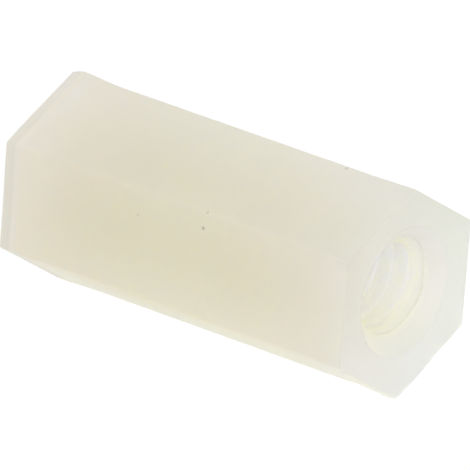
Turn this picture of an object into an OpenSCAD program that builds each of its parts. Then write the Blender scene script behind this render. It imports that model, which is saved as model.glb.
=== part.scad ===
// Female/female hex standoff, moulded in natural polyamide.
// It lies on one flat: Z = 0 is that flat, X runs along the thread's axis,
// and the origin is under the middle of the part. All sizes are in millimetres.

/* [Body] */
// Distance between two opposite flats
across_flats = 7; // [6:0.1:14]
// Length from end face to end face
body_length = 16; // [8:0.5:40]
// Radius on the six long edges
long_edge_radius = 0.25; // [0.1:0.05:0.6]

/* [Bevelled end] */
// How far the bevel reaches along the flats, from the -X end face
bevel_reach = 0.45; // [0.2:0.05:1.2]
// How far the bevel takes each flat in at the -X end face
bevel_drop = 0.12; // [0.05:0.01:0.4]

/* [Thread] */
// Nominal (major) diameter of the screw thread
thread_diameter = 4; // [2:0.5:4.5]
// Thread pitch
thread_pitch = 0.7; // [0.4:0.05:0.8]
// How far the lead-in's mouth stands outside the thread, on the radius
lead_in_width = 0.425; // [0.1:0.025:0.6]
// Included angle of the lead-in cone at each end, in degrees
lead_in_angle = 90; // [60:5:120]

/* [Hidden] */
$fn = 96;

// Overshoot of every cutting tool past the face that it cuts
cut_margin = 1;
// A regular hexagon
sides = 6;
side_angle = 360 / sides;

// Points on each corner's circle: a multiple of 12, so that the flats touch it at a point
edge_facets = 36;
// Thickness of the sheet that the bevel ends on
end_sheet = 0.01;

// The hole before its thread is formed, and the wide mouth of each lead-in cone
core_diameter = thread_diameter - thread_pitch;
mouth_diameter = thread_diameter + 2 * lead_in_width;
lead_in_depth = (mouth_diameter - core_diameter) / 2 / tan(lead_in_angle / 2);
// Length of straight wall between the two cones
wall_length = body_length - 2 * lead_in_depth;

nylon = [0.90, 0.89, 0.81];

// Turns a shape drawn along +Z so that it runs along +X, on the part's axis
module on_axis() {
    translate([0, 0, across_flats / 2]) rotate([0, 90, 0]) children();
}

// Hexagon with rounded corners and a flat facing +X
module rounded_hexagon(flats) {
    hull()
        for (i = [0 : sides - 1])
            rotate(side_angle / 2 + i * side_angle)
                translate([(flats / 2 - long_edge_radius) / cos(side_angle / 2), 0])
                    circle(r = long_edge_radius, $fn = edge_facets);
}

// The hexagonal bar, centred, drawn in at its lower end by the bevel
module bevelled_bar() {
    hull() {
        translate([0, 0, bevel_reach - body_length / 2])
            linear_extrude(height = body_length - bevel_reach)
                rounded_hexagon(across_flats);
        translate([0, 0, -body_length / 2])
            linear_extrude(height = end_sheet)
                rounded_hexagon(across_flats - 2 * bevel_drop);
    }
}

// Straight core hole right through, with a lead-in cone at each end
module threaded_bore() {
    cylinder(d = core_diameter, h = body_length + 2 * cut_margin, center = true);
    for (end = [0, 1])
        mirror([0, 0, end])
            translate([0, 0, wall_length / 2])
                cylinder(d1 = core_diameter, d2 = mouth_diameter, h = lead_in_depth);
}

module standoff() {
    color(nylon)
        on_axis()
            difference() {
                bevelled_bar();
                threaded_bore();
            }
}

standoff();
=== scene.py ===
# %% [markdown]
# # A hex standoff in natural nylon
# A hex standoff is a short six-sided spacer with a thread in each end. It holds a circuit board a fixed
# height above a panel. This one is 16 mm long and 7 mm across its flats, moulded in one piece, with an
# M4 thread that runs right through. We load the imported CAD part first, because it fixes where the piece
# lies and how big it may be. Then we set up the camera and the light, and build the piece that is seen.

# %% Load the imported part
import math

import bpy
from mathutils import Matrix, Vector


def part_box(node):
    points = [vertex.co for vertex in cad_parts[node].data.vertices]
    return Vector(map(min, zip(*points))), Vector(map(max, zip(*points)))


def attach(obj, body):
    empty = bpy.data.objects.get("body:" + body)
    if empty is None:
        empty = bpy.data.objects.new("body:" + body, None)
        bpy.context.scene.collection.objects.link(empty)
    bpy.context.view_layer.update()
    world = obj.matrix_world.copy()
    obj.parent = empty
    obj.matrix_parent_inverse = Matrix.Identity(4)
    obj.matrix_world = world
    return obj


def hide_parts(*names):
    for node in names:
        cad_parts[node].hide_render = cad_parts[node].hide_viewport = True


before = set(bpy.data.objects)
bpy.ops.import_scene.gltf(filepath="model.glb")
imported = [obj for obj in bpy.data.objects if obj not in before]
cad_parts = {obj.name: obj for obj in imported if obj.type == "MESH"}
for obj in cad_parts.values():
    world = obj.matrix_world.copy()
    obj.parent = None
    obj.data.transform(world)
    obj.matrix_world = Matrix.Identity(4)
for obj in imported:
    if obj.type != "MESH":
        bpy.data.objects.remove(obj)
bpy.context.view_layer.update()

MM = 0.001
low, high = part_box("standoff")
print("nodes:", sorted(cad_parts), "size in mm:", [round(side / MM, 3) for side in high - low])

# %% [markdown]
# ## One helper for every tree
# Materials and Geometry Nodes are both trees of nodes. Each node could be placed by hand, but a big tree is
# easier to read as a list of what goes into what. So one function adds any node to any tree: it takes
# the node's kind, what goes into its sockets, and its settings. A socket can be filled with a plain value,
# with another socket, or with a node, whose first output is then used.

# %% Add a node with its settings and links
def fill(tree, made, sockets):
    """Fills a node's sockets, by name or number, with a value, another socket, or a node's first output."""
    for key, value in sockets.items():
        if isinstance(value, bpy.types.Node):
            value = value.outputs[0]
        if isinstance(value, bpy.types.NodeSocket):
            tree.links.new(value, made.inputs[key])
        else:
            made.inputs[key].default_value = value


def add(tree, kind, sockets=None, **settings):
    """Adds one node of a kind to a tree, makes its settings and fills its sockets."""
    made = tree.nodes.new(kind)
    for name, value in settings.items():
        setattr(made, name, value)
    fill(tree, made, sockets or {})
    return made

# %% Turn a colour from sRGB to linear
def hex_colour(text):
    """An sRGB colour such as #E6E0C8, as the linear colour that Blender's sockets hold."""
    parts = [int(text[at:at + 2], 16) / 255 for at in (1, 3, 5)]
    # The numbers in this line are the sRGB standard's own.
    linear = [part / 12.92 if part <= 0.04045 else ((part + 0.055) / 1.055) ** 2.4 for part in parts]
    return (*linear, 1.0)


print("middle grey is", round(hex_colour("#808080")[0], 3), "in linear light")

# %% [markdown]
# ## The camera
# The standoff is looked at from its front right, about 42 degrees above the floor. A camera close by would
# spread its near end, so this one stands more than half a metre away with a long lens, and the long edges
# stay almost parallel. It is also rolled, which makes the bar run down to the right across the frame.
# Three directions make its matrix: right, up, and backward, away from the part.

# %% Place the camera
CAMERA_AZIMUTH = math.radians(50.770)
CAMERA_ELEVATION = math.radians(42.044)
CAMERA_ROLL = math.radians(19.787)
CAMERA_AIM = Vector((0.0514, -0.0109, 3.4482)) * MM
CAMERA_DISTANCE = 577.617 * MM
LENS_MM = 1225.53
SENSOR_MM = 36.0
CLIP_METRES = (0.01, 10.0)

flat = math.cos(CAMERA_ELEVATION)
backward = Vector((math.sin(CAMERA_AZIMUTH) * flat, -math.cos(CAMERA_AZIMUTH) * flat,
                   math.sin(CAMERA_ELEVATION)))
right = Vector((0, 0, 1)).cross(backward).normalized()
turned = Matrix((right, backward.cross(right), backward)).transposed()
camera_data = bpy.data.cameras.new("camera")
camera_data.lens = LENS_MM
camera_data.sensor_width = SENSOR_MM
camera_data.clip_start, camera_data.clip_end = CLIP_METRES
camera = bpy.data.objects.new("camera", camera_data)
camera.matrix_world = (
    Matrix.Translation(CAMERA_AIM + backward * CAMERA_DISTANCE)
    @ (turned @ Matrix.Rotation(-CAMERA_ROLL, 3, "Z")).to_4x4()
)
bpy.context.scene.collection.objects.link(camera)
bpy.context.scene.camera = camera
print("camera at", [round(part, 4) for part in camera.matrix_world.translation])

# %% [markdown]
# ## White surroundings
# Small parts are shown on white, in even light from all round. The world gives that light at a plain level.
# Turning the world up until it looks white would wash out the part. So Light Path picks a second, white
# background for the rays of the camera and for what the part mirrors or lets through, and the rays that
# light things keep the plain one.

# %% World
STUDIO_LIGHT = 0.28
STUDIO_COLOUR = "#FFFFFF"
CLEAN_WHITE = "#FFFFFF"
world = bpy.data.worlds.new("white_studio")
bpy.context.scene.world = world
world.use_nodes = True
sky = world.node_tree
sky.nodes.clear()


def seen_rays(tree):
    """1 for rays from the camera, reflections and refractions, and 0 for the rays that light things."""
    path = add(tree, "ShaderNodeLightPath")
    mirrored = add(tree, "ShaderNodeMath", {
        0: path.outputs["Is Camera Ray"], 1: path.outputs["Is Glossy Ray"]}, operation="ADD")
    return add(tree, "ShaderNodeMath", {0: mirrored, 1: path.outputs["Is Transmission Ray"]},
               operation="ADD", use_clamp=True)


even_light = add(sky, "ShaderNodeBackground", {"Color": hex_colour(STUDIO_COLOUR), "Strength": STUDIO_LIGHT})
white = add(sky, "ShaderNodeBackground", {"Color": hex_colour(CLEAN_WHITE), "Strength": 1.0})
either = add(sky, "ShaderNodeMixShader", {0: seen_rays(sky), 1: even_light, 2: white})
add(sky, "ShaderNodeOutputWorld", {"Surface": either})
print("the world lights the part at", STUDIO_LIGHT, "and is seen at 1.0")

# %% [markdown]
# ## The floor
# The part lies on an opal light table, a pale board with a faint glow of its own, which is why its lower
# faces aren't dark. A plain white plane would turn grey between the lamps. So the rays that are seen
# meet mostly clean white, plus a share of the board's real shading, which is where the soft shadow
# under the part lies.

# %% Floor material
FLOOR_COLOUR = "#F4F4F4"
FLOOR_GLOW = 0.25
GLOW_COLOUR = "#EEF3FB"
SHADOW_SHARE = 0.20
CLEAN_STRENGTH = 1.05
floor_paint = bpy.data.materials.new("opal_light_table")
floor_paint.use_nodes = True
board = floor_paint.node_tree
board.nodes.clear()
shaded = add(board, "ShaderNodeBsdfDiffuse", {"Color": hex_colour(FLOOR_COLOUR)})
under_light = add(board, "ShaderNodeEmission", {"Color": hex_colour(GLOW_COLOUR), "Strength": FLOOR_GLOW})
lit_board = add(board, "ShaderNodeAddShader", {0: shaded, 1: under_light})
clean_white = add(board, "ShaderNodeEmission", {
    "Color": hex_colour(CLEAN_WHITE), "Strength": CLEAN_STRENGTH})
part_shaded = add(board, "ShaderNodeMixShader", {0: SHADOW_SHARE, 1: clean_white, 2: lit_board})
by_ray = add(board, "ShaderNodeMixShader", {0: seen_rays(board), 1: lit_board, 2: part_shaded})
add(board, "ShaderNodeOutputMaterial", {"Surface": by_ray})
print("the floor keeps", SHADOW_SHARE, "of its shadow")

# %% Floor
FLOOR_SIZE = 2.0
half = FLOOR_SIZE / 2
floor_corners = [(-half, -half, 0), (half, -half, 0), (half, half, 0), (-half, half, 0)]
floor_mesh = bpy.data.meshes.new("floor")
floor_mesh.from_pydata(floor_corners, [], [(0, 1, 2, 3)])
floor_mesh.materials.append(floor_paint)
floor = bpy.data.objects.new("floor", floor_mesh)
bpy.context.scene.collection.objects.link(floor)
print("floor:", FLOOR_SIZE, "m square")

# %% [markdown]
# ## The lamps
# Three soft boxes stand round the part. The key lamp lights the near end, the back lamp the top and the back
# edge, and the last one the far end. Small lamps would give hard shadows and bright spots, so each is a
# disk half a metre wide, wider than it is far away, and its light wraps round the part. One is a
# little warm and one a little cool, as lamps in a studio are.

# %% Lamps
LAMP_DISTANCE = 0.35
LAMP_SIZE = 0.50
# Each lamp is (azimuth from the front, elevation, watts, colour), with its angles in degrees.
LAMPS = {
    "key": (76.0, 35.0, 1.00, "#FFF8F0"),
    "back": (180.0, 30.0, 0.36, "#F2F8FF"),
    "far_end": (-80.0, 30.0, 0.54, "#FFFFFF"),
}
middle = (low + high) / 2
for name, (azimuth, elevation, watts, tint) in LAMPS.items():
    data = bpy.data.lights.new(name, "AREA")
    data.shape = "DISK"
    data.size = LAMP_SIZE
    data.energy = watts
    data.color = hex_colour(tint)[:3]
    turn, lift = math.radians(azimuth), math.radians(elevation)
    away = Vector((math.sin(turn) * math.cos(lift), -math.cos(turn) * math.cos(lift), math.sin(lift)))
    lamp = bpy.data.objects.new(name, data)
    lamp.matrix_world = (Matrix.Translation(middle + away * LAMP_DISTANCE)
                         @ away.to_track_quat("Z", "Y").to_matrix().to_4x4())
    bpy.context.scene.collection.objects.link(lamp)
print("lamps:", sorted(LAMPS))

# %% [markdown]
# ## The tree that makes the standoff
# The piece follows two rules. Outside it is a hexagon carried along a line, and inside it is one thread
# ridge wound round and round. Both can be laid out on a flat grid, and each point of the grid then finds
# its place from its row and its column. So we use Geometry Nodes: two grids, placed by rule, then sewn
# together where they meet. The tree works in millimetres, and its last step turns them into metres.

# %% Start the tree and name its sizes
SIZES = {
    # The body.
    "Across flats": 7.0, "Length": 16.0, "Far end trim": 0.05,
    "Long edge radius": 0.25, "End edge radius": 0.10, "Rim radius": 0.02,
    # What the moulding adds: sink between the ends, and a lip and a bevel at the far end.
    "Sink": 0.025, "Sink run near": 2.0, "Lip reach": 0.5, "Lip run": 2.2, "Lip rise": 0.055,
    "Bevel reach": 0.45, "Bevel drop": 0.125,
    # The bore, and how far its core pin has drifted at the near end.
    "Mouth width": 4.85, "Core diameter": 3.3, "Core drift Y": -0.05, "Core drift Z": 0.17,
    # The thread.
    "Pitch": 0.7, "Ridge height": 0.32, "Crest width": 0.20, "Root width": 0.09, "Ridge rounding": 0.07,
    # Wear.
    "Worn width": 0.6, "Chip reach": 0.5, "Chip lift": 0.05, "Corner lift": 0.06, "Chips per mm": 2.6,
    "Chip seed": 0.0,
}
shape = bpy.data.node_groups.new("nylon_standoff", "GeometryNodeTree")
shape.interface.new_socket("Geometry", in_out="OUTPUT", socket_type="NodeSocketGeometry")
for name, value in SIZES.items():
    socket = shape.interface.new_socket(name, in_out="INPUT", socket_type="NodeSocketFloat")
    socket.default_value = value
shape.interface.new_socket("Nylon", in_out="INPUT", socket_type="NodeSocketMaterial")
given = add(shape, "NodeGroupInput").outputs
print("tree inputs:", len(SIZES) + 1)

# %% Sizes that follow from those
half_length = add(shape, "ShaderNodeMath", {0: given["Length"], 1: 2.0}, operation="DIVIDE")
far_half = add(shape, "ShaderNodeMath", {0: half_length, 1: given["Far end trim"]}, operation="SUBTRACT")
far_end = add(shape, "ShaderNodeMath", {0: far_half, 1: -1.0}, operation="MULTIPLY")
apothem = add(shape, "ShaderNodeMath", {0: given["Across flats"], 1: 2.0}, operation="DIVIDE")
mouth_radius = add(shape, "ShaderNodeMath", {0: given["Mouth width"], 1: 2.0}, operation="DIVIDE")
core_radius = add(shape, "ShaderNodeMath", {0: given["Core diameter"], 1: 2.0}, operation="DIVIDE")
print("half the length and half the height:", SIZES["Length"] / 2, SIZES["Across flats"] / 2, "mm")

# %% [markdown]
# ### The outline
# A circle of six points is a hexagon. Fillet Curve rounds its corners, and Subdivide Curve adds points
# along the flats only, which it can do because its number of cuts may differ from piece to piece. The
# moulding's long edges are rounder in the middle of the bar than at its ends, so two outlines are
# drawn, and each row later takes its own blend of them.

# %% Draw the two outlines
SIDES = 6
CORNER_POINTS = 7
FLAT_PIECES = 12
AROUND = SIDES * (CORNER_POINTS - 1 + FLAT_PIECES)
# Of every CORNER_POINTS pieces of the outline, the last one is a flat.
FLAT_LIMIT = CORNER_POINTS - 1.5
circumradius = add(shape, "ShaderNodeMath", {0: given["Across flats"], 1: math.sqrt(3)}, operation="DIVIDE")
hexagon = add(shape, "GeometryNodeCurvePrimitiveCircle", {"Resolution": SIDES, "Radius": circumradius},
              mode="RADIUS")
outlines = []
for radius in (given["Long edge radius"], given["End edge radius"]):
    rounded = add(shape, "GeometryNodeFilletCurve", {
        "Curve": hexagon, "Count": CORNER_POINTS - 1, "Radius": radius}, mode="POLY")
    turn = add(shape, "ShaderNodeMath", {0: add(shape, "GeometryNodeInputIndex"), 1: float(CORNER_POINTS)},
               operation="MODULO")
    on_flat = add(shape, "FunctionNodeCompare", {0: turn, 1: FLAT_LIMIT}, operation="GREATER_THAN")
    cuts = add(shape, "ShaderNodeMath", {0: on_flat, 1: float(FLAT_PIECES - 1)}, operation="MULTIPLY")
    outlines.append(add(shape, "GeometryNodeSubdivideCurve", {"Curve": rounded, "Cuts": cuts}))
print("points around the bar:", AROUND)

# %% [markdown]
# ### The skin
# The first grid's columns go round the bar and its rows go along it, from the rim of one thread's mouth, out
# over the end face, along the bar and back in over the other end face. Rows crowd together near the
# ends, where the shape changes most, because their places follow a sine.

# %% Rows and columns of the skin
ROWS_PER_UNIT = 64
FACE_SHARE = 0.1875
half_rows = 1 + FACE_SHARE
rows = round(2 * half_rows * ROWS_PER_UNIT)
skin_grid = add(shape, "GeometryNodeMeshGrid", {
    "Size X": float(AROUND), "Size Y": 2 * half_rows, "Vertices X": AROUND + 1, "Vertices Y": rows + 1})
grid_place = add(shape, "ShaderNodeSeparateXYZ", {0: add(shape, "GeometryNodeInputPosition")})
column = add(shape, "ShaderNodeMath", {0: grid_place.outputs["X"], 1: AROUND / 2}, operation="ADD")
station = grid_place.outputs["Y"]
held = add(shape, "ShaderNodeClamp", {"Value": station, "Min": -1.0, "Max": 1.0})
quarter_turn = add(shape, "ShaderNodeMath", {0: held, 1: math.pi / 2}, operation="MULTIPLY")
eased = add(shape, "ShaderNodeMath", {0: quarter_turn}, operation="SINE")
print("rows along the bar:", rows)

# %% How far along the bar each row lies
on_far_half = add(shape, "FunctionNodeCompare", {0: eased, 1: 0.0}, operation="LESS_THAN")
reach = add(shape, "GeometryNodeSwitch", {"Switch": on_far_half, "False": half_length, "True": far_half},
            input_type="FLOAT")
along = add(shape, "ShaderNodeMath", {0: eased, 1: reach}, operation="MULTIPLY")
from_far = add(shape, "ShaderNodeMath", {0: far_half, 1: along}, operation="ADD")
from_near = add(shape, "ShaderNodeMath", {0: half_length, 1: along}, operation="SUBTRACT")
print("the far half is shorter by", SIZES["Far end trim"], "mm")

# %% [markdown]
# ### Sink, lip and bevel
# Hot nylon shrinks as it sets, most where it is thickest, so the sides sink a few hundredths of a millimetre
# between the ends. At the far end the mould leaves a slight lip along the top, and a shallow bevel at
# the back. All three could be sculpted by hand. Here each row works out its own share of each from its
# distance to the ends, so every size stays a number that can be changed.

# %% Each row's share of sink, lip and bevel
near_rise = add(shape, "ShaderNodeMapRange", {
    "Value": from_near, "From Min": 0.0, "From Max": given["Sink run near"]}, interpolation_type="SMOOTHSTEP")
far_rise = add(shape, "ShaderNodeMapRange", {
    "Value": from_far, "From Min": given["Lip reach"], "From Max": given["Lip run"]},
    interpolation_type="SMOOTHSTEP")
middle_share = add(shape, "ShaderNodeMath", {0: near_rise, 1: far_rise}, operation="MULTIPLY")
sunk = add(shape, "ShaderNodeMath", {0: middle_share, 1: given["Sink"]}, operation="MULTIPLY")
lip_share = add(shape, "ShaderNodeMath", {0: 1.0, 1: far_rise}, operation="SUBTRACT")
raised = add(shape, "ShaderNodeMath", {0: lip_share, 1: given["Lip rise"]}, operation="MULTIPLY")
bevelled = add(shape, "ShaderNodeMapRange", {
    "Value": from_far, "From Min": 0.0, "From Max": given["Bevel reach"],
    "To Min": given["Bevel drop"], "To Max": 0.0})
print("sink, lip and bevel:", SIZES["Sink"], SIZES["Lip rise"], SIZES["Bevel drop"], "mm")

# %% Find each point of the outline
# A whole number can come out a hair too small, so a quarter is added before it picks a point.
NUDGE = 0.25
nudged = add(shape, "ShaderNodeMath", {0: column, 1: NUDGE}, operation="ADD")
wrapped = add(shape, "ShaderNodeMath", {0: nudged, 1: float(AROUND)}, operation="MODULO")
round_place, sharp_place = (
    add(shape, "GeometryNodeSampleIndex", {
        "Geometry": outline, "Value": add(shape, "GeometryNodeInputPosition"), "Index": wrapped},
        data_type="FLOAT_VECTOR")
    for outline in outlines)
edge_place = add(shape, "ShaderNodeMix", {0: middle_share, 4: sharp_place, 5: round_place},
                 data_type="VECTOR").outputs[1]
section_at = add(shape, "ShaderNodeSeparateXYZ", {0: edge_place}).outputs
print("outlines:", len(outlines))

# %% Where round the outline each change lies
# Each is (direction, mm where it starts, mm where it is full, full amount, how it eases). X runs to
# the back of the bar and Y runs up.
ROUND_FADES = {
    "back": ("X", -1.2, 2.0, 1.0, "LINEAR"),
    "top": ("Y", 1.0, 3.3, 1.0, "SMOOTHSTEP"),
    "underneath": ("Y", -3.0, -3.4, 1.0, "LINEAR"),
    "chipped side": ("X", -0.2, 0.1, 1.0, "LINEAR"),
    "lifted corner": ("X", -1.0, -2.0, given["Corner lift"], "LINEAR"),
}
round_fade = {}
for name, (direction, start, full, amount, easing) in ROUND_FADES.items():
    round_fade[name] = add(shape, "ShaderNodeMapRange", {
        "Value": section_at[direction], "From Min": start, "From Max": full, "To Max": amount},
        interpolation_type=easing)
back_bevel = add(shape, "ShaderNodeMath", {0: bevelled, 1: round_fade["back"]}, operation="MULTIPLY")
top_lip = add(shape, "ShaderNodeMath", {0: raised, 1: round_fade["top"]}, operation="MULTIPLY")
print("changes round the outline:", sorted(round_fade))

# %% [markdown]
# ### Wear
# Standoffs are tumbled loose in bags of hundreds, so their edges collect small dents and burrs, and the rim
# they land on gets ragged. A bump in the material would not show on an outline. So the points themselves
# move: each mark moves them sideways at one spot of the lower front edge, and a slow noise along the
# lower rim lifts it unevenly.

# %% Mark the lower front edge
# Each mark is (place along the bar, half its width, how far the edge goes in or out), in mm.
EDGE_MARKS = {
    "dent": (6.22, 0.62, 0.045),
    "burr": (7.62, 0.62, -0.055),
}
WORN_EDGE = (-2.02, -3.50, 0.0)
edge_distance = add(shape, "ShaderNodeVectorMath", {0: edge_place, 1: WORN_EDGE},
                    operation="DISTANCE").outputs["Value"]
near_edge = add(shape, "ShaderNodeMapRange", {
    "Value": edge_distance, "From Min": 0.0, "From Max": given["Worn width"], "To Min": 1.0, "To Max": 0.0},
    interpolation_type="SMOOTHSTEP")
worn = 0.0
for centre, half_width, change in EDGE_MARKS.values():
    past_mark = add(shape, "ShaderNodeMath", {0: along, 1: centre}, operation="SUBTRACT")
    mark_distance = add(shape, "ShaderNodeMath", {0: past_mark}, operation="ABSOLUTE")
    mark = add(shape, "ShaderNodeMapRange", {
        "Value": mark_distance, "From Min": 0.0, "From Max": half_width, "To Min": change, "To Max": 0.0},
        interpolation_type="SMOOTHSTEP")
    worn = add(shape, "ShaderNodeMath", {0: mark, 1: near_edge, 2: worn}, operation="MULTIPLY_ADD")
print("marks on the edge:", sorted(EDGE_MARKS))

# %% Lift the lower rim unevenly
CHIP_LEVELS = (0.4, 0.6)
at_rim = add(shape, "ShaderNodeMapRange", {
    "Value": from_near, "From Min": 0.0, "From Max": given["Chip reach"], "To Min": 1.0, "To Max": 0.0},
    interpolation_type="SMOOTHSTEP")
noise_at = add(shape, "ShaderNodeMath", {0: section_at["X"], 1: given["Chip seed"]}, operation="ADD")
ragged = add(shape, "ShaderNodeTexNoise", {"W": noise_at, "Scale": given["Chips per mm"], "Detail": 1.0},
             noise_dimensions="1D")
chip_depth = add(shape, "ShaderNodeMapRange", {
    "Value": ragged, "From Min": CHIP_LEVELS[0], "From Max": CHIP_LEVELS[1], "To Max": given["Chip lift"]})
chips = add(shape, "ShaderNodeMath", {0: chip_depth, 1: round_fade["chipped side"]}, operation="MULTIPLY")
all_lift = add(shape, "ShaderNodeMath", {0: chips, 1: round_fade["lifted corner"]}, operation="ADD")
lower_rim = add(shape, "ShaderNodeMath", {0: at_rim, 1: round_fade["underneath"]}, operation="MULTIPLY")
lift = add(shape, "ShaderNodeMath", {0: all_lift, 1: lower_rim}, operation="MULTIPLY")
worn_shift = add(shape, "ShaderNodeCombineXYZ", {0: worn, 1: lift})
print("most that the rim is lifted:", max(SIZES["Chip lift"], SIZES["Corner lift"]), "mm")

# %% [markdown]
# ### From the outline to the skin
# Each row is its outline made a little larger or smaller. The last rows before an end face are also drawn in
# along a quarter circle, which rounds the rim. Past the rim, the rows cross the end face towards the
# circle of the thread's mouth. They could be a separate cap, but then it would have to be sewn on.

# %% Place each point of the rows along the bar
from_end = add(shape, "ShaderNodeMath", {0: from_near, 1: from_far}, operation="MINIMUM")
into_rim = add(shape, "ShaderNodeMath", {0: given["Rim radius"], 1: from_end}, operation="SUBTRACT",
               use_clamp=True)
rim_square, into_square = (add(shape, "ShaderNodeMath", {0: side, 1: 2.0}, operation="POWER")
                           for side in (given["Rim radius"], into_rim))
squares = add(shape, "ShaderNodeMath", {0: rim_square, 1: into_square}, operation="SUBTRACT")
still_out = add(shape, "ShaderNodeMath", {0: squares}, operation="SQRT")
rounded_off = add(shape, "ShaderNodeMath", {0: given["Rim radius"], 1: still_out}, operation="SUBTRACT")
sunk_and_rounded = add(shape, "ShaderNodeMath", {0: sunk, 1: rounded_off}, operation="ADD")
drawn_in = add(shape, "ShaderNodeMath", {0: sunk_and_rounded, 1: back_bevel}, operation="ADD")
change = add(shape, "ShaderNodeMath", {0: top_lip, 1: drawn_in}, operation="SUBTRACT")
change_share = add(shape, "ShaderNodeMath", {0: change, 1: apothem}, operation="DIVIDE")
kept = add(shape, "ShaderNodeMath", {0: 1.0, 1: change_share}, operation="ADD")
scaled_place = add(shape, "ShaderNodeVectorMath", {0: edge_place, "Scale": kept}, operation="SCALE")
row_place = add(shape, "ShaderNodeVectorMath", {0: scaled_place, 1: worn_shift}, operation="ADD")
print("rim radius:", SIZES["Rim radius"], "mm")

# %% Carry the rows over the end faces
angle = add(shape, "ShaderNodeMath", {0: column, 1: 2 * math.pi / AROUND}, operation="MULTIPLY")
mouth_way = [add(shape, "ShaderNodeMath", {0: angle}, operation=way) for way in ("COSINE", "SINE")]
mouth_place = add(shape, "ShaderNodeVectorMath", {
    0: add(shape, "ShaderNodeCombineXYZ", {0: mouth_way[0], 1: mouth_way[1]}), "Scale": mouth_radius},
    operation="SCALE")
beyond = add(shape, "ShaderNodeMath", {0: station}, operation="ABSOLUTE")
over_face = add(shape, "ShaderNodeMapRange", {"Value": beyond, "From Min": 1.0, "From Max": half_rows})
crowded = add(shape, "ShaderNodeMath", {0: over_face, 1: 2.0}, operation="POWER")
section_place = add(shape, "ShaderNodeMix", {0: crowded, 4: row_place, 5: mouth_place},
                    data_type="VECTOR").outputs[1]
across = add(shape, "ShaderNodeSeparateXYZ", {0: section_place}).outputs
print("mouth:", SIZES["Mouth width"], "mm")

# %% Keep the lowest points on the floor and place the skin
floor_line = add(shape, "ShaderNodeMath", {0: apothem, 1: -1.0}, operation="MULTIPLY")
resting = add(shape, "ShaderNodeMath", {0: across["Y"], 1: floor_line}, operation="MAXIMUM")
skin_place = add(shape, "ShaderNodeCombineXYZ", {0: along, 1: across["X"], 2: resting})
skin = add(shape, "GeometryNodeSetPosition", {"Geometry": skin_grid, "Position": skin_place})
print("points in the skin:", (AROUND + 1) * (rows + 1))

# %% [markdown]
# ### The thread
# A metric thread's section is a row of ridges of about 60 degrees, cut flat at the crest and at the root. One
# pitch of it is six points, and Fillet Curve softens the four corners as moulding does. The second grid
# winds that section round the bore: a column is a place along the helix and a row is a point of the
# section. Each turn of it ends where the next one starts, so merging the doubles sews the helix into one
# wall. The 90 degree lead-in at each mouth is a cone, and a point that would lie inside the cone is moved
# out to it. A normal map would be quicker, but the mouth would look cut off where it meets real shape.

# %% The six points of one pitch
slopes = add(shape, "ShaderNodeMath", {0: given["Pitch"], 1: given["Crest width"]}, operation="SUBTRACT")
flank = add(shape, "ShaderNodeMath", {0: slopes, 1: given["Root width"]}, operation="SUBTRACT")
half_flank = add(shape, "ShaderNodeMath", {0: flank, 1: 2.0}, operation="DIVIDE")
half_crest = add(shape, "ShaderNodeMath", {0: given["Crest width"], 1: 2.0}, operation="DIVIDE")
root_start = add(shape, "ShaderNodeMath", {0: half_crest, 1: half_flank}, operation="ADD")
root_end = add(shape, "ShaderNodeMath", {0: root_start, 1: given["Root width"]}, operation="ADD")
crest_start = add(shape, "ShaderNodeMath", {0: given["Pitch"], 1: half_crest}, operation="SUBTRACT")
steps = [0.0, half_crest, root_start, root_end, crest_start, given["Pitch"]]
heights = [0.0, 0.0, given["Ridge height"], given["Ridge height"], 0.0, 0.0]
print("points in one pitch:", len(steps))

# %% Draw one pitch and round its corners
ROUNDING_POINTS = 2
FLANK_CUTS = 2
# The first of every three pieces is a straight one.
STRAIGHT_LIMIT = 0.5
point_number = add(shape, "GeometryNodeInputIndex")
chosen = []
for values in (steps, heights):
    pick = add(shape, "GeometryNodeIndexSwitch", data_type="FLOAT")
    for _ in range(len(values) - len(pick.index_switch_items)):
        pick.index_switch_items.new()
    fill(shape, pick, {"Index": point_number})
    fill(shape, pick, {number: value for number, value in enumerate(values, start=1)})
    chosen.append(pick)
section_line = add(shape, "GeometryNodeSetPosition", {
    "Geometry": add(shape, "GeometryNodeMeshLine", {"Count": len(steps)}),
    "Position": add(shape, "ShaderNodeCombineXYZ", {0: chosen[0], 1: chosen[1]})})
corners = add(shape, "GeometryNodeFilletCurve", {
    "Curve": add(shape, "GeometryNodeMeshToCurve", {0: section_line}), "Count": ROUNDING_POINTS,
    "Radius": given["Ridge rounding"]}, mode="POLY")
piece = add(shape, "ShaderNodeMath", {
    0: add(shape, "GeometryNodeInputIndex"), 1: float(ROUNDING_POINTS + 1)}, operation="MODULO")
long_piece = add(shape, "FunctionNodeCompare", {0: piece, 1: STRAIGHT_LIMIT}, operation="LESS_THAN")
cuts = add(shape, "ShaderNodeMath", {0: long_piece, 1: float(FLANK_CUTS)}, operation="MULTIPLY")
section = add(shape, "GeometryNodeSubdivideCurve", {"Curve": corners, "Cuts": cuts})
ROUNDED_CORNERS = len(steps) - 2
SECTION_POINTS = ROUNDED_CORNERS * (ROUNDING_POINTS + 1) + 2 + (len(steps) - 1) * FLANK_CUTS
print("points in the rounded section:", SECTION_POINTS)

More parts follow.
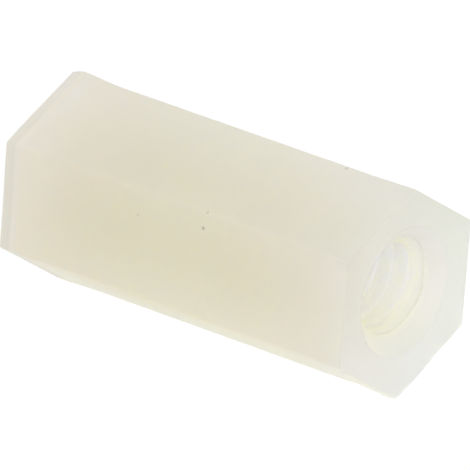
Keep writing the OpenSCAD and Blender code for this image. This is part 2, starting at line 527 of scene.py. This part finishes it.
# %% Lay the section out along the helix
# Wound at its pitch, this many turns pass both ends, and what is past an end is held at that end.
TURNS = 26
bore_grid = add(shape, "GeometryNodeMeshGrid", {
    "Size X": float(TURNS), "Size Y": float(SECTION_POINTS - 1),
    "Vertices X": TURNS * AROUND + 1, "Vertices Y": SECTION_POINTS})
bore_xy = add(shape, "ShaderNodeSeparateXYZ", {0: add(shape, "GeometryNodeInputPosition")}).outputs
section_number = add(shape, "ShaderNodeMath", {
    0: bore_xy["Y"], 1: (SECTION_POINTS - 1) / 2 + NUDGE}, operation="ADD")
section_point = add(shape, "GeometryNodeSampleIndex", {
    "Geometry": section, "Value": add(shape, "GeometryNodeInputPosition"), "Index": section_number},
    data_type="FLOAT_VECTOR")
section_xy = add(shape, "ShaderNodeSeparateXYZ", {0: section_point}).outputs
wound = add(shape, "ShaderNodeMath", {0: bore_xy["X"], 1: given["Pitch"], 2: section_xy["X"]},
            operation="MULTIPLY_ADD")
bore_along = add(shape, "ShaderNodeClamp", {"Value": wound, "Min": far_end, "Max": half_length})
print("turns of the thread:", TURNS, "which wind over", round(TURNS * SIZES["Pitch"], 1), "mm")

# %% Wind it round the bore and cut the cones
thread_radius = add(shape, "ShaderNodeMath", {0: core_radius, 1: section_xy["Y"]}, operation="ADD")
inward = add(shape, "ShaderNodeMath", {
    0: add(shape, "ShaderNodeMath", {0: half_length, 1: bore_along}, operation="SUBTRACT"),
    1: add(shape, "ShaderNodeMath", {0: far_half, 1: bore_along}, operation="ADD")}, operation="MINIMUM")
cone_radius = add(shape, "ShaderNodeMath", {0: mouth_radius, 1: inward}, operation="SUBTRACT")
bore_radius = add(shape, "ShaderNodeMath", {0: thread_radius, 1: cone_radius}, operation="MAXIMUM")
bore_angle = add(shape, "ShaderNodeMath", {0: bore_xy["X"], 1: 2 * math.pi}, operation="MULTIPLY")
bore_yz = []
for way in ("COSINE", "SINE"):
    direction = add(shape, "ShaderNodeMath", {0: bore_angle}, operation=way)
    bore_yz.append(add(shape, "ShaderNodeMath", {0: bore_radius, 1: direction}, operation="MULTIPLY"))
bore_place = add(shape, "ShaderNodeCombineXYZ", {0: bore_along, 1: bore_yz[0], 2: bore_yz[1]})
bore = add(shape, "GeometryNodeSetPosition", {"Geometry": bore_grid, "Position": bore_place})
print("points in the bore:", (TURNS * AROUND + 1) * SECTION_POINTS)

# %% [markdown]
# ### The drifted core
# The steel pin that leaves the hole is held at one end, and the melt pushes its other end aside. So the
# hole is centred at the far end and a little high at the near one. Moving only the bore would tear it off
# the end faces. So the shift is also carried out over each face, and fades to nothing just before the
# bar's outer edge.

# %% Join the skin and the bore, and let the bore drift
EDGE_KEPT_MM = 0.1
joined = add(shape, "GeometryNodeJoinGeometry")
turned_bore = add(shape, "GeometryNodeFlipFaces", {0: bore})
for part in (skin, turned_bore):
    fill(shape, joined, {0: part})
here = add(shape, "ShaderNodeSeparateXYZ", {0: add(shape, "GeometryNodeInputPosition")}).outputs
from_middle = add(shape, "ShaderNodeVectorMath", {
    0: add(shape, "ShaderNodeCombineXYZ", {0: here["Y"], 1: here["Z"]})}, operation="LENGTH").outputs["Value"]
shift_end = add(shape, "ShaderNodeMath", {0: apothem, 1: EDGE_KEPT_MM}, operation="SUBTRACT")
carried = add(shape, "ShaderNodeMapRange", {
    "Value": from_middle, "From Min": mouth_radius, "From Max": shift_end, "To Min": 1.0, "To Max": 0.0})
toward_near = add(shape, "ShaderNodeMapRange", {
    "Value": here["X"], "From Min": far_end, "From Max": half_length, "To Max": carried})
full_drift = add(shape, "ShaderNodeCombineXYZ", {1: given["Core drift Y"], 2: given["Core drift Z"]})
drift = add(shape, "ShaderNodeVectorMath", {0: full_drift, "Scale": toward_near}, operation="SCALE")
drifted = add(shape, "GeometryNodeSetPosition", {"Geometry": joined, "Offset": drift})
print("drift at the near end:", SIZES["Core drift Y"], SIZES["Core drift Z"], "mm")

# %% [markdown]
# ### Sew, smooth and finish
# Joining only puts the two grids in one mesh, so the merge is what closes it. It reaches three thousandths of
# a millimetre, so nothing that shows is lost. Edges that turn more than 70 degrees are marked sharp and
# the rest are smooth, because moulded ridges and rims are slightly rounded. Realize Instances and Set
# Material come last, so that what leaves the tree is plain geometry with its finish on it.

# %% Close the mesh and finish the tree
MERGE_MM = 0.003
SHARP_TURN = math.radians(70)
sewn = add(shape, "GeometryNodeMergeByDistance", {"Geometry": drifted, "Distance": MERGE_MM})
rise = add(shape, "ShaderNodeMath", {0: apothem, 1: MM}, operation="MULTIPLY")
lifted = add(shape, "GeometryNodeTransform", {
    "Geometry": sewn, "Scale": (MM, MM, MM), "Translation": add(shape, "ShaderNodeCombineXYZ", {2: rise})})
soft = add(shape, "GeometryNodeSetShadeSmooth", {"Geometry": lifted})
crease = add(shape, "FunctionNodeCompare", {0: add(shape, "GeometryNodeInputMeshEdgeAngle"), 1: SHARP_TURN},
             operation="GREATER_THAN")
creased = add(shape, "GeometryNodeSetShadeSmooth", {
    "Geometry": soft, "Selection": crease, "Shade Smooth": False}, domain="EDGE")
real = add(shape, "GeometryNodeRealizeInstances", {0: creased})
finished = add(shape, "GeometryNodeSetMaterial", {"Geometry": real, "Material": given["Nylon"]})
add(shape, "NodeGroupOutput", {0: finished})
print("nodes in the tree:", len(shape.nodes))

# %% [markdown]
# ## Natural nylon
# The real material is polyamide 66 with no pigment, injection moulded in a steel mould with a fine satin
# grain. To the eye it is a milky ivory: light goes in and scatters, so edges and thin walls look paler
# and the thick middle looks warmer. A flat colour would look like painted card. So part of the light is
# scattered inside, over the whole width of the bar, and slow changes of tint are laid over that. They are
# partly the nylon's own tone and partly painted light and painted shade, which stand in for how the lamps,
# the board and the light through the thin walls fall on each face.

# %% Start the material and find where a point lies
HALF_LENGTH = SIZES["Length"] / 2
HALF_HEIGHT = SIZES["Across flats"] / 2
nylon = bpy.data.materials.new("natural_pa66_moulded")
nylon.use_nodes = True
resin = nylon.node_tree
resin.nodes.clear()
coordinates = add(resin, "ShaderNodeTexCoord").outputs
place = coordinates["Object"]
centred = add(resin, "ShaderNodeMapping", {"Vector": place, "Location": (0.0, 0.0, -HALF_HEIGHT * MM)})
at = add(resin, "ShaderNodeSeparateXYZ", {0: centred}).outputs
past_middle = add(resin, "ShaderNodeMath", {0: at["X"]}, operation="ABSOLUTE")
measures = {
    "X": at["X"],
    "Y": at["Y"],
    "Z": at["Z"],
    "from the far end": add(resin, "ShaderNodeMath", {
        0: at["X"], 1: (HALF_LENGTH - SIZES["Far end trim"]) * MM}, operation="ADD"),
    "from either end": add(resin, "ShaderNodeMath", {0: HALF_LENGTH * MM, 1: past_middle},
                           operation="SUBTRACT"),
}
print("places are measured by:", sorted(measures))

# %% Where each change of tint begins and ends
# Each fade is (what is measured, mm where it starts, mm where it is full, how it eases).
FADES = {
    "along the bar": ("X", -8.0, 8.0, "LINEAR"),
    "toward the front edge": ("Y", 1.0, -1.8, "SMOOTHSTEP"),
    "near end": ("X", 5.0, 8.0, "SMOOTHSTEP"),
    "front": ("Y", -1.84, -2.20, "SMOOTHSTEP"),
    "down the front": ("Z", 3.4, 0.0, "SMOOTHSTEP"),
    "low down": ("Z", 0.4, -3.3, "SMOOTHSTEP"),
    "lower front": ("Y", -1.8, -2.1, "LINEAR"),
    "back half": ("Y", -1.0, 1.0, "LINEAR"),
    "far corner": ("from the far end", 1.9, 0.6, "SMOOTHSTEP"),
    "far line": ("from the far end", 0.82, 0.60, "SMOOTHSTEP"),
    "far strip": ("from the far end", 0.52, 0.36, "SMOOTHSTEP"),
    "near rim": ("X", 7.92, 7.97, "LINEAR"),
    "up the end face": ("Z", -3.5, 3.5, "LINEAR"),
    "back of the end face": ("Y", -0.5, 3.0, "LINEAR"),
    "front of the end face": ("Y", -0.8, -2.4, "LINEAR"),
    "back of the lip": ("Y", -1.0, 1.6, "SMOOTHSTEP"),
    "foot of the lip": ("Z", -0.2, -1.8, "SMOOTHSTEP"),
    "into the bore": ("from either end", 0.4, 1.2, "SMOOTHSTEP"),
}
fade = {}
for name, (measure, start, full, easing) in FADES.items():
    fade[name] = add(resin, "ShaderNodeMapRange", {
        "Value": measures[measure], "From Min": start * MM, "From Max": full * MM},
        interpolation_type=easing)
print("fades:", len(fade))

# %% [markdown]
# ### The long faces: tone, painted light and painted shade
# The ivory changes slowly along the bar: brightest in the middle, yellower toward the far end and greyer
# toward the near end. A colour ramp holds that drift, which is partly the nylon's own tone and partly
# painted light and shade. On top of it come painted shade and painted light round the bar: painted shade
# on the top, deepest toward its front edge and at the bar's near end, painted light on the front, and
# painted light that makes the foot of the front, which is thin and stands on the pale board, almost white.
# A tint is a factor for red, green and blue that the colour under it is multiplied by.

# %% The drift along the bar
# The nylon's own tone with painted light and shade: brightest in the middle, yellower far, greyer near.
SKIN_TONE_AND_PAINTED_LIGHT = {
    -8.0: "#EFE8D0",
    -4.0: "#F4EDD9",
    0.0: "#F9F7E1",
    4.0: "#F9F2E1",
    8.0: "#EAECE7",
}
stops_mm = sorted(SKIN_TONE_AND_PAINTED_LIGHT)
span = stops_mm[-1] - stops_mm[0]
ramp = add(resin, "ShaderNodeValToRGB", {"Fac": fade["along the bar"]})
stops = ramp.color_ramp
stops.interpolation = "B_SPLINE"
for place_mm in stops_mm[1:-1]:
    stops.elements.new((place_mm - stops_mm[0]) / span)
for stop, place_mm in zip(stops.elements, stops_mm):
    stop.color = hex_colour(SKIN_TONE_AND_PAINTED_LIGHT[place_mm])
print("stops of the ramp in mm:", stops_mm)

# %% Painted shade on the top and painted light on the front
# Painted shade on the top and near its front edge, painted light on the front and on its foot.
TOP_PAINTED_SHADE = (0.969, 0.967, 0.983, 1.0)
TOP_NEAR_PAINTED_SHADE = (0.960, 0.955, 0.915, 1.0)
FRONT_HIGH_PAINTED_LIGHT = (1.060, 1.038, 1.020, 1.0)
FRONT_LOW_PAINTED_LIGHT = (1.046, 1.027, 0.928, 1.0)
FOOT_PAINTED_LIGHT = "#FCFCF0"
FOOT_PAINTED_LIGHT_SHARE = 0.76
not_front = add(resin, "ShaderNodeMath", {0: 1.0, 1: fade["front"]}, operation="SUBTRACT")
top_near_shade_share = add(resin, "ShaderNodeMath", {0: fade["near end"], 1: not_front}, operation="MULTIPLY")
front_painted_light = add(resin, "ShaderNodeMix", {0: fade["down the front"], 6: FRONT_HIGH_PAINTED_LIGHT, 7: FRONT_LOW_PAINTED_LIGHT},
                 data_type="RGBA").outputs[2]
foot = add(resin, "ShaderNodeMath", {0: fade["low down"], 1: fade["lower front"]}, operation="MULTIPLY")
foot_light_share = add(resin, "ShaderNodeMath", {0: foot, 1: FOOT_PAINTED_LIGHT_SHARE}, operation="MULTIPLY")
# Each is (its share, its tint or colour, how it is laid on), and each is painted light or painted shade.
LONG_FACE_PAINTED_LIGHT_AND_SHADE = [
    (fade["toward the front edge"], TOP_PAINTED_SHADE, "MULTIPLY"),
    (top_near_shade_share, TOP_NEAR_PAINTED_SHADE, "MULTIPLY"),
    (fade["front"], front_painted_light, "MULTIPLY"),
    (foot_light_share, hex_colour(FOOT_PAINTED_LIGHT), "MIX"),
]
skin_colour = ramp.outputs["Color"]
for tint_share, tint, way in LONG_FACE_PAINTED_LIGHT_AND_SHADE:
    skin_colour = add(resin, "ShaderNodeMix", {0: tint_share, 6: skin_colour, 7: tint},
                      data_type="RGBA", blend_type=way).outputs[2]
print("tints on the long faces:", len(LONG_FACE_PAINTED_LIGHT_AND_SHADE))

# %% [markdown]
# ### Painted light and shade at the two ends of the bar
# The far end carries three bands of painted light and shade: painted light on a pale corner at the back, a
# painted highlight along a line, and a darker strip of painted shade at the very edge. The near rim is one
# thin line of painted shade, a touch duller than the faces beside it. Bands this narrow would need many
# stops on a ramp, so each is its own fade.

# %% Painted light and shade at the far end and the near rim
# The far corner is painted light, the far line a painted highlight, the strip and the near rim painted shade.
FAR_CORNER_PAINTED_LIGHT = "#F0EBDC"
FAR_LINE_PAINTED_HIGHLIGHT = "#F0E9D4"
FAR_STRIP_PAINTED_SHADE = "#E7E2CC"
FAR_STRIP_BACK_PAINTED_SHADE = "#EDE7D6"
RIM_PAINTED_SHADE = (0.960, 0.952, 0.935, 1.0)
far_corner_light_share = add(resin, "ShaderNodeMath", {0: fade["back half"], 1: fade["far corner"]},
                   operation="MULTIPLY")
far_strip_painted_shade = add(resin, "ShaderNodeMix", {
    0: fade["back half"], 6: hex_colour(FAR_STRIP_PAINTED_SHADE), 7: hex_colour(FAR_STRIP_BACK_PAINTED_SHADE)},
    data_type="RGBA").outputs[2]
END_PAINTED_LIGHT_AND_SHADE = [
    (far_corner_light_share, hex_colour(FAR_CORNER_PAINTED_LIGHT), "MIX"),
    (fade["far line"], hex_colour(FAR_LINE_PAINTED_HIGHLIGHT), "MIX"),
    (fade["far strip"], far_strip_painted_shade, "MIX"),
    (fade["near rim"], RIM_PAINTED_SHADE, "MULTIPLY"),
]
for tint_share, tint, way in END_PAINTED_LIGHT_AND_SHADE:
    skin_colour = add(resin, "ShaderNodeMix", {0: tint_share, 6: skin_colour, 7: tint},
                      data_type="RGBA", blend_type=way).outputs[2]
print("tints at the ends:", len(END_PAINTED_LIGHT_AND_SHADE))

# %% [markdown]
# ### The end faces
# The wall round the hole is only a millimetre or two thick, so the end faces have lost the ivory and are a
# cool grey white. Low down they carry painted light, lighter and cooler where the board lights them, and
# toward their back and their front they carry painted shade. They could be a second material, but
# then its edge would be a hard line. Here the way a point faces fades one colour into the other.

# %% Colour the end faces
# Lighter and cooler low down is painted light from the board. The back and front tints are painted shade.
FACE_LOW_PAINTED_LIGHT = "#E2E5E7"
FACE_TOP = "#D9D8D2"
FACE_BACK_PAINTED_SHADE = (0.945, 0.977, 0.880, 1.0)
FACE_FRONT_PAINTED_SHADE = (0.962, 0.954, 0.922, 1.0)
FACE_TURN = (0.15, 0.75)
facing = add(resin, "ShaderNodeSeparateXYZ", {0: coordinates["Normal"]}).outputs
end_on = add(resin, "ShaderNodeMath", {0: facing["X"]}, operation="ABSOLUTE")
on_face = add(resin, "ShaderNodeMapRange", {
    "Value": end_on, "From Min": FACE_TURN[0], "From Max": FACE_TURN[1]}, interpolation_type="SMOOTHSTEP")
face_colour = add(resin, "ShaderNodeMix", {
    0: fade["up the end face"], 6: hex_colour(FACE_LOW_PAINTED_LIGHT), 7: hex_colour(FACE_TOP)},
    data_type="RGBA").outputs[2]
for side, tint in (("back of the end face", FACE_BACK_PAINTED_SHADE), ("front of the end face", FACE_FRONT_PAINTED_SHADE)):
    face_colour = add(resin, "ShaderNodeMix", {0: fade[side], 6: face_colour, 7: tint},
                      data_type="RGBA", blend_type="MULTIPLY").outputs[2]
outside_colour = add(resin, "ShaderNodeMix", {0: on_face, 6: skin_colour, 7: face_colour},
                     data_type="RGBA").outputs[2]
print("end faces: where the normal lies", FACE_TURN, "along the bar")

# %% [markdown]
# ### Painted light in the bore and on its lips
# Inside the thread, light bounces from wall to wall and through them, so the bore glows a warm white, and
# that glow is painted into its colour. The lead-in cone at its mouth catches light from outside instead,
# which is painted too: painted light in front, painted shade behind and at its foot. The hole drifts, so
# the material works out the same drift as the tree to know which points lie inside it.

# %% Find the points of the bore
BORE_EDGE_MM = 0.025
cross = add(resin, "ShaderNodeCombineXYZ", {0: at["Y"], 1: at["Z"]})
full_shift = (SIZES["Core drift Y"] * MM, SIZES["Core drift Z"] * MM, 0.0)
hole_place = add(resin, "ShaderNodeVectorMath", {0: full_shift, "Scale": fade["along the bar"]},
                 operation="SCALE")
from_core = add(resin, "ShaderNodeVectorMath", {0: cross, 1: hole_place},
                operation="DISTANCE").outputs["Value"]
mouth_mm = SIZES["Mouth width"] / 2
in_bore = add(resin, "ShaderNodeMapRange", {
    "Value": from_core, "From Min": (mouth_mm + BORE_EDGE_MM) * MM,
    "From Max": (mouth_mm - BORE_EDGE_MM) * MM})
in_thread = add(resin, "ShaderNodeMath", {0: in_bore, 1: fade["into the bore"]}, operation="MULTIPLY")
print("the bore lies within", mouth_mm, "mm of its drifted axis")

# %% Paint light and shade on the bore and its lips
# The bore's warm white is a painted glow. The lip has painted light in front and painted shade behind and at
# its foot.
BORE_PAINTED_GLOW = "#FDFDE4"
LIP_FRONT_PAINTED_LIGHT = "#F4F2E4"
LIP_BACK_PAINTED_SHADE = "#DDDCD4"
LIP_FOOT_PAINTED_SHADE = "#DFE0DC"
BORE_PAINTED_LIGHT_AND_SHADE = {"back of the lip": LIP_BACK_PAINTED_SHADE, "foot of the lip": LIP_FOOT_PAINTED_SHADE, "into the bore": BORE_PAINTED_GLOW}
bore_painted_light_and_shade = hex_colour(LIP_FRONT_PAINTED_LIGHT)
for part, tint in BORE_PAINTED_LIGHT_AND_SHADE.items():
    bore_painted_light_and_shade = add(resin, "ShaderNodeMix", {0: fade[part], 6: bore_painted_light_and_shade, 7: hex_colour(tint)},
                      data_type="RGBA").outputs[2]
whole_colour = add(resin, "ShaderNodeMix", {0: in_bore, 6: outside_colour, 7: bore_painted_light_and_shade},
                   data_type="RGBA").outputs[2]
print("lip colours:", LIP_FRONT_PAINTED_LIGHT, LIP_BACK_PAINTED_SHADE, LIP_FOOT_PAINTED_SHADE, "and in the bore", BORE_PAINTED_GLOW)

# %% [markdown]
# ### Specks and stains
# A white part shows every speck: grit from the regrind, a scuff from the bag, the touch of a finger. A noise
# would scatter them anywhere, and a real part has only a few. So each has its own place, size and
# strength, and the distance from its middle fades it out.

# %% Lay the specks on
SPECK_COLOUR = "#6E6552"
# Each speck is (x, y and z from the middle of the bar, radius, strength), in mm.
SPECKS = {
    "dark dot": (1.300, -2.329, 2.966, 0.100, 0.75),
    "dot on the edge": (1.40, -1.96, 3.50, 0.10, 0.44),
    "scratch": (-1.723, -2.516, 2.642, 0.100, 0.18),
    "dot beside the mouth": (8.00, -2.480, -0.120, 0.09, 0.17),
    "dot on the top edge": (4.93, 1.91, 3.50, 0.12, 0.30),
    "faint dot": (-5.492, -3.627, 0.718, 0.07, 0.10),
    "far stain": (-5.95, -2.02, 3.50, 0.42, 0.035),
    "near stain": (7.75, -2.05, 3.45, 0.60, 0.03),
}
worn_colour = whole_colour
for x, y, z, radius, strength in SPECKS.values():
    speck_distance = add(resin, "ShaderNodeVectorMath", {0: centred, 1: (x * MM, y * MM, z * MM)},
                         operation="DISTANCE").outputs["Value"]
    speck = add(resin, "ShaderNodeMapRange", {
        "Value": speck_distance, "From Min": 0.0, "From Max": radius * MM, "To Min": strength, "To Max": 0.0},
        interpolation_type="SMOOTHSTEP")
    worn_colour = add(resin, "ShaderNodeMix", {0: speck, 6: worn_colour, 7: hex_colour(SPECK_COLOUR)},
                      data_type="RGBA").outputs[2]
print("specks and stains:", len(SPECKS))

# %% [markdown]
# ### Clouds and grain
# Natural nylon is never quite even: crystals of different sizes leave clouds a millimetre or two wide, a
# little warmer and a little more matt. A noise on Object coordinates gives them a real size and runs
# through the piece unbroken. The mould's satin grain has pits of about 0.03 mm. That is too fine to
# show, so it is drawn at 0.11 mm, as coarse as it needs to be, and very shallow.

# %% Clouds and grain
CLOUD_MM = 1.6
CLOUD_DETAIL = 3.0
CLOUD_LEVELS = (0.3, 0.7)
CLOUD_COLOUR = "#C9BFA0"
CLOUD_SHARE = 0.012
SATIN_ROUGHNESS = (0.50, 0.60)
GRAIN_MM = 0.11
GRAIN_DEPTH_MM = 0.0015
cloud = add(resin, "ShaderNodeTexNoise", {
    "Vector": place, "Scale": 1.0 / (CLOUD_MM * MM), "Detail": CLOUD_DETAIL})
cloud_share, satin = (
    add(resin, "ShaderNodeMapRange", {
        "Value": cloud, "From Min": CLOUD_LEVELS[0], "From Max": CLOUD_LEVELS[1],
        "To Min": least, "To Max": most})
    for least, most in ((0.0, CLOUD_SHARE), SATIN_ROUGHNESS))
clouded = add(resin, "ShaderNodeMix", {0: cloud_share, 6: worn_colour, 7: hex_colour(CLOUD_COLOUR)},
              data_type="RGBA").outputs[2]
grain = add(resin, "ShaderNodeTexNoise", {"Vector": place, "Scale": 1.0 / (GRAIN_MM * MM), "Detail": 1.0})
grained = add(resin, "ShaderNodeBump", {
    "Height": grain, "Distance": GRAIN_DEPTH_MM * MM, "Strength": 1.0})
print("clouds:", CLOUD_MM, "mm, grain:", GRAIN_MM, "mm wide and", GRAIN_DEPTH_MM, "mm deep")

# %% [markdown]
# ### Depth and shine
# The milky look is the share of light that scatters inside. Its radius is longer than the bar, so light that
# goes in comes out anywhere on it, as it does in this small and clear a piece. The skin scatters less
# than half of its light, so that it keeps its tints, and the thread inside scatters all of it. The
# skin is satin, and the thread, which was wound off its pin, is quite matt.

# %% The surface
SCATTER_MM = 100.0
SKIN_MILKINESS = 0.4
LIP_MILKINESS = 0.5
THREAD_MILKINESS = 1.0
THREAD_ROUGHNESS = 1.0
NYLON_IOR = 1.53
FORWARD_SCATTER = 0.8
bore_milkiness = add(resin, "ShaderNodeMapRange", {
    "Value": fade["into the bore"], "To Min": LIP_MILKINESS, "To Max": THREAD_MILKINESS})
milkiness = add(resin, "ShaderNodeMix", {0: in_bore, 2: SKIN_MILKINESS, 3: bore_milkiness})
roughness = add(resin, "ShaderNodeMix", {0: in_thread, 2: satin, 3: THREAD_ROUGHNESS})
surface = add(resin, "ShaderNodeBsdfPrincipled", {
    "Base Color": clouded,
    "Roughness": roughness,
    "Normal": grained,
    "IOR": NYLON_IOR,
    "Subsurface Weight": milkiness,
    "Subsurface Radius": (1.0, 1.0, 1.0),
    "Subsurface Scale": SCATTER_MM * MM,
    "Subsurface IOR": NYLON_IOR,
    "Subsurface Anisotropy": FORWARD_SCATTER,
}, subsurface_method="RANDOM_WALK_SKIN")
add(resin, "ShaderNodeOutputMaterial", {"Surface": surface})
print("nodes in the material:", len(resin.nodes))

# %% [markdown]
# ## From the tree to a plain mesh
# The tree runs as a modifier on a maker object with no shape of its own. Its inputs are set by their
# identifiers, before it is first evaluated. The modifier could stay on the piece, but a plain mesh is what
# other tools can read, so the result is copied off and the maker is thrown away.

# %% Run the tree and keep a plain mesh
maker = bpy.data.objects.new("standoff_maker", bpy.data.meshes.new("standoff_maker"))
bpy.context.scene.collection.objects.link(maker)
growth = maker.modifiers.new("standoff", "NODES")
growth.node_group = shape
for item in shape.interface.items_tree:
    if item.in_out == "INPUT":
        growth[item.identifier] = nylon if item.name == "Nylon" else SIZES[item.name]
bpy.context.view_layer.update()
grown = bpy.data.meshes.new_from_object(maker.evaluated_get(bpy.context.evaluated_depsgraph_get()))
bpy.data.objects.remove(maker)
if grown.materials[0] is None:  # The maker had no material, which leaves an empty slot that no face uses.
    grown.materials.pop(index=0)
standoff = bpy.data.objects.new("nylon_standoff", grown)
bpy.context.scene.collection.objects.link(standoff)
print("faces:", len(grown.polygons), "points:", len(grown.vertices))

# %% [markdown]
# ## Hand the piece over
# The CAD node the piece replaces is hidden, the piece moves with its body, and it keeps the finish the tree
# gave it. Light turns many times in the bore and between the piece and the board, and each turn it isn't
# allowed is light lost, so it may turn twelve times.

# %% Hide the CAD node, attach the piece and finish the settings
LIGHT_TURNS = 12
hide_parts("standoff")
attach(standoff, "root")
bpy.context.scene.view_settings.view_transform = "Standard"
bpy.context.scene.cycles.diffuse_bounces = LIGHT_TURNS
print("piece:", standoff.name, "material:", standoff.data.materials[0].name)
